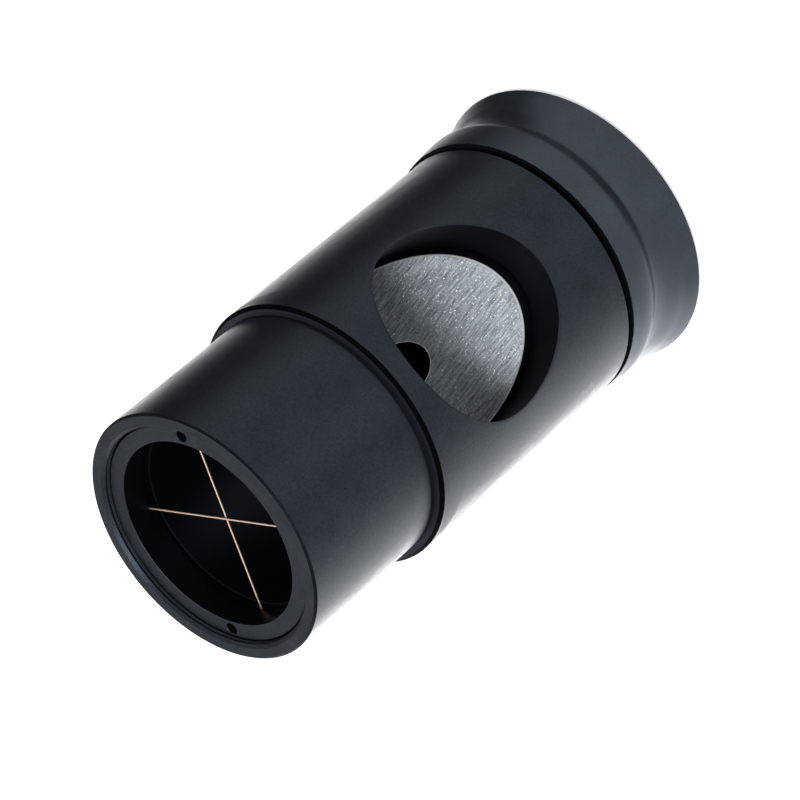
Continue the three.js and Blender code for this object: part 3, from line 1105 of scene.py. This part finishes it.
make_main_tube()
make_retaining_ring()
make_reticle_carrier()
make_wire("sight_wire_front", "cross_wire_front", 0)
make_wire("sight_wire_rear", "cross_wire_rear", 1)
for index, label in enumerate(("front_a", "front_b", "rear_a", "rear_b")):
    make_bond(f"glue_drop_{label}", f"wire_bond_{label}", index)
make_reflector_plug()
make_peep_cap()
make_grub_screw()
make_eyecup()


# ---------------------------------------------------------------- floor, light and camera


def make_floor():
    size = 3.0
    corners = [(-size, -size, 0), (size, -size, 0), (size, size, 0), (-size, size, 0)]
    mesh = bpy.data.meshes.new("floor")
    mesh.from_pydata(corners, [], [(0, 1, 2, 3)])
    floor = bpy.data.objects.new("floor", mesh)
    bpy.context.scene.collection.objects.link(floor)
    floor.location.z = -FLOOR_DROP * MM
    floor.visible_glossy = False
    mesh.materials.append(pale_floor())


def soft_box(name, azimuth, elevation, distance, size, power):
    """A square light at an azimuth and elevation, facing the middle of the object."""
    data = bpy.data.lights.new(name, "AREA")
    data.shape = "SQUARE"
    data.size = size
    data.energy = power
    light = bpy.data.objects.new(name, data)
    bpy.context.scene.collection.objects.link(light)
    back = direction(azimuth, elevation)
    light.location = MIDDLE + back * distance
    light.rotation_euler = back.to_track_quat("Z", "Y").to_euler()


def make_world():
    """A studio's soft surroundings: an even level, with broad brighter and darker sides."""
    world = bpy.data.worlds.new("studio")
    bpy.context.scene.world = world
    world.use_nodes = True
    world.cycles.sampling_method = "NONE"
    tree = world.node_tree
    place = tree.nodes.new("ShaderNodeTexCoord")
    level = None
    for azimuth, elevation, edge, middle, amount in STUDIO_SIDES:
        towards = tree.nodes.new("ShaderNodeVectorMath")
        towards.operation = "DOT_PRODUCT"
        towards.inputs[1].default_value = direction(azimuth, elevation)
        tree.links.new(place.outputs["Generated"], towards.inputs[0])
        fade = tree.nodes.new("ShaderNodeMapRange")
        fade.interpolation_type = "SMOOTHSTEP"
        fade.inputs["From Min"].default_value = edge
        fade.inputs["From Max"].default_value = middle
        fade.inputs["To Max"].default_value = amount
        tree.links.new(towards.outputs["Value"], fade.inputs["Value"])
        total = tree.nodes.new("ShaderNodeMath")
        total.operation = "ADD"
        tree.links.new(fade.outputs["Result"], total.inputs[0])
        if level is None:
            total.inputs[1].default_value = STUDIO_LEVEL
        else:
            tree.links.new(level.outputs["Value"], total.inputs[1])
        level = total
    least = tree.nodes.new("ShaderNodeMath")
    least.operation = "MAXIMUM"
    least.inputs[1].default_value = STUDIO_LEAST
    tree.links.new(level.outputs["Value"], least.inputs[0])
    background = tree.nodes["Background"]
    background.inputs["Color"].default_value = (1, 1, 1, 1)
    tree.links.new(least.outputs["Value"], background.inputs["Strength"])


def make_camera():
    """The photograph's view: from in front and above, rolled so that the tube lies across it."""
    data = bpy.data.cameras.new("camera")
    data.lens = CAMERA_LENS
    data.sensor_width = 36
    data.clip_start = 0.01
    camera = bpy.data.objects.new("camera", data)
    bpy.context.scene.collection.objects.link(camera)
    back = direction(CAMERA_AZIMUTH, CAMERA_ELEVATION)
    facing = back.to_track_quat("Z", "Y").to_matrix().to_4x4()
    roll = Matrix.Rotation(math.radians(CAMERA_ROLL), 4, "Z")
    aim = MIDDLE + Vector(CAMERA_AIM) * MM
    camera.matrix_world = Matrix.Translation(aim + back * CAMERA_DISTANCE) @ facing @ roll
    bpy.context.scene.camera = camera


MIDDLE = (Vector(cad_low) + Vector(cad_high)) / 2  # in metres
FLOOR_DROP = 0.02

# angles in degrees, distance in metres, aim in millimetres from the middle
CAMERA_AZIMUTH = 2.384
CAMERA_ELEVATION = 36.746
CAMERA_ROLL = -130.549
CAMERA_DISTANCE = 0.44174
CAMERA_LENS = 174.8
CAMERA_AIM = (-2.586, 0.634, 1.243)

STUDIO_LEVEL = 0.62
STUDIO_LEAST = 0.02
# azimuth, elevation, cosine at the side's edge and at its middle, brightness added
STUDIO_SIDES = [
    (0, 55, 0.70, 0.96, -0.40),
    (118, -20, 0.68, 0.95, -0.60),
    (-149, -37, 0.42, 0.96, 1.2),
    (-165, -37, 0.90, 0.995, 1.2),
    (180, -37, 0.84, 0.97, 1.2),
    (-4, -37, 0.965, 0.995, 0.35),
    (180, 37, 0.5, 0.95, -0.2),
    (0, -90, 0.70, 0.93, -0.6),
]

make_floor()
make_world()
soft_box("overhead", azimuth=150, elevation=78, distance=0.9, size=0.7, power=4)
soft_box("window_key", azimuth=-36, elevation=58, distance=0.7, size=0.34, power=1.7)
make_camera()
bpy.context.scene.view_settings.view_transform = "Standard"
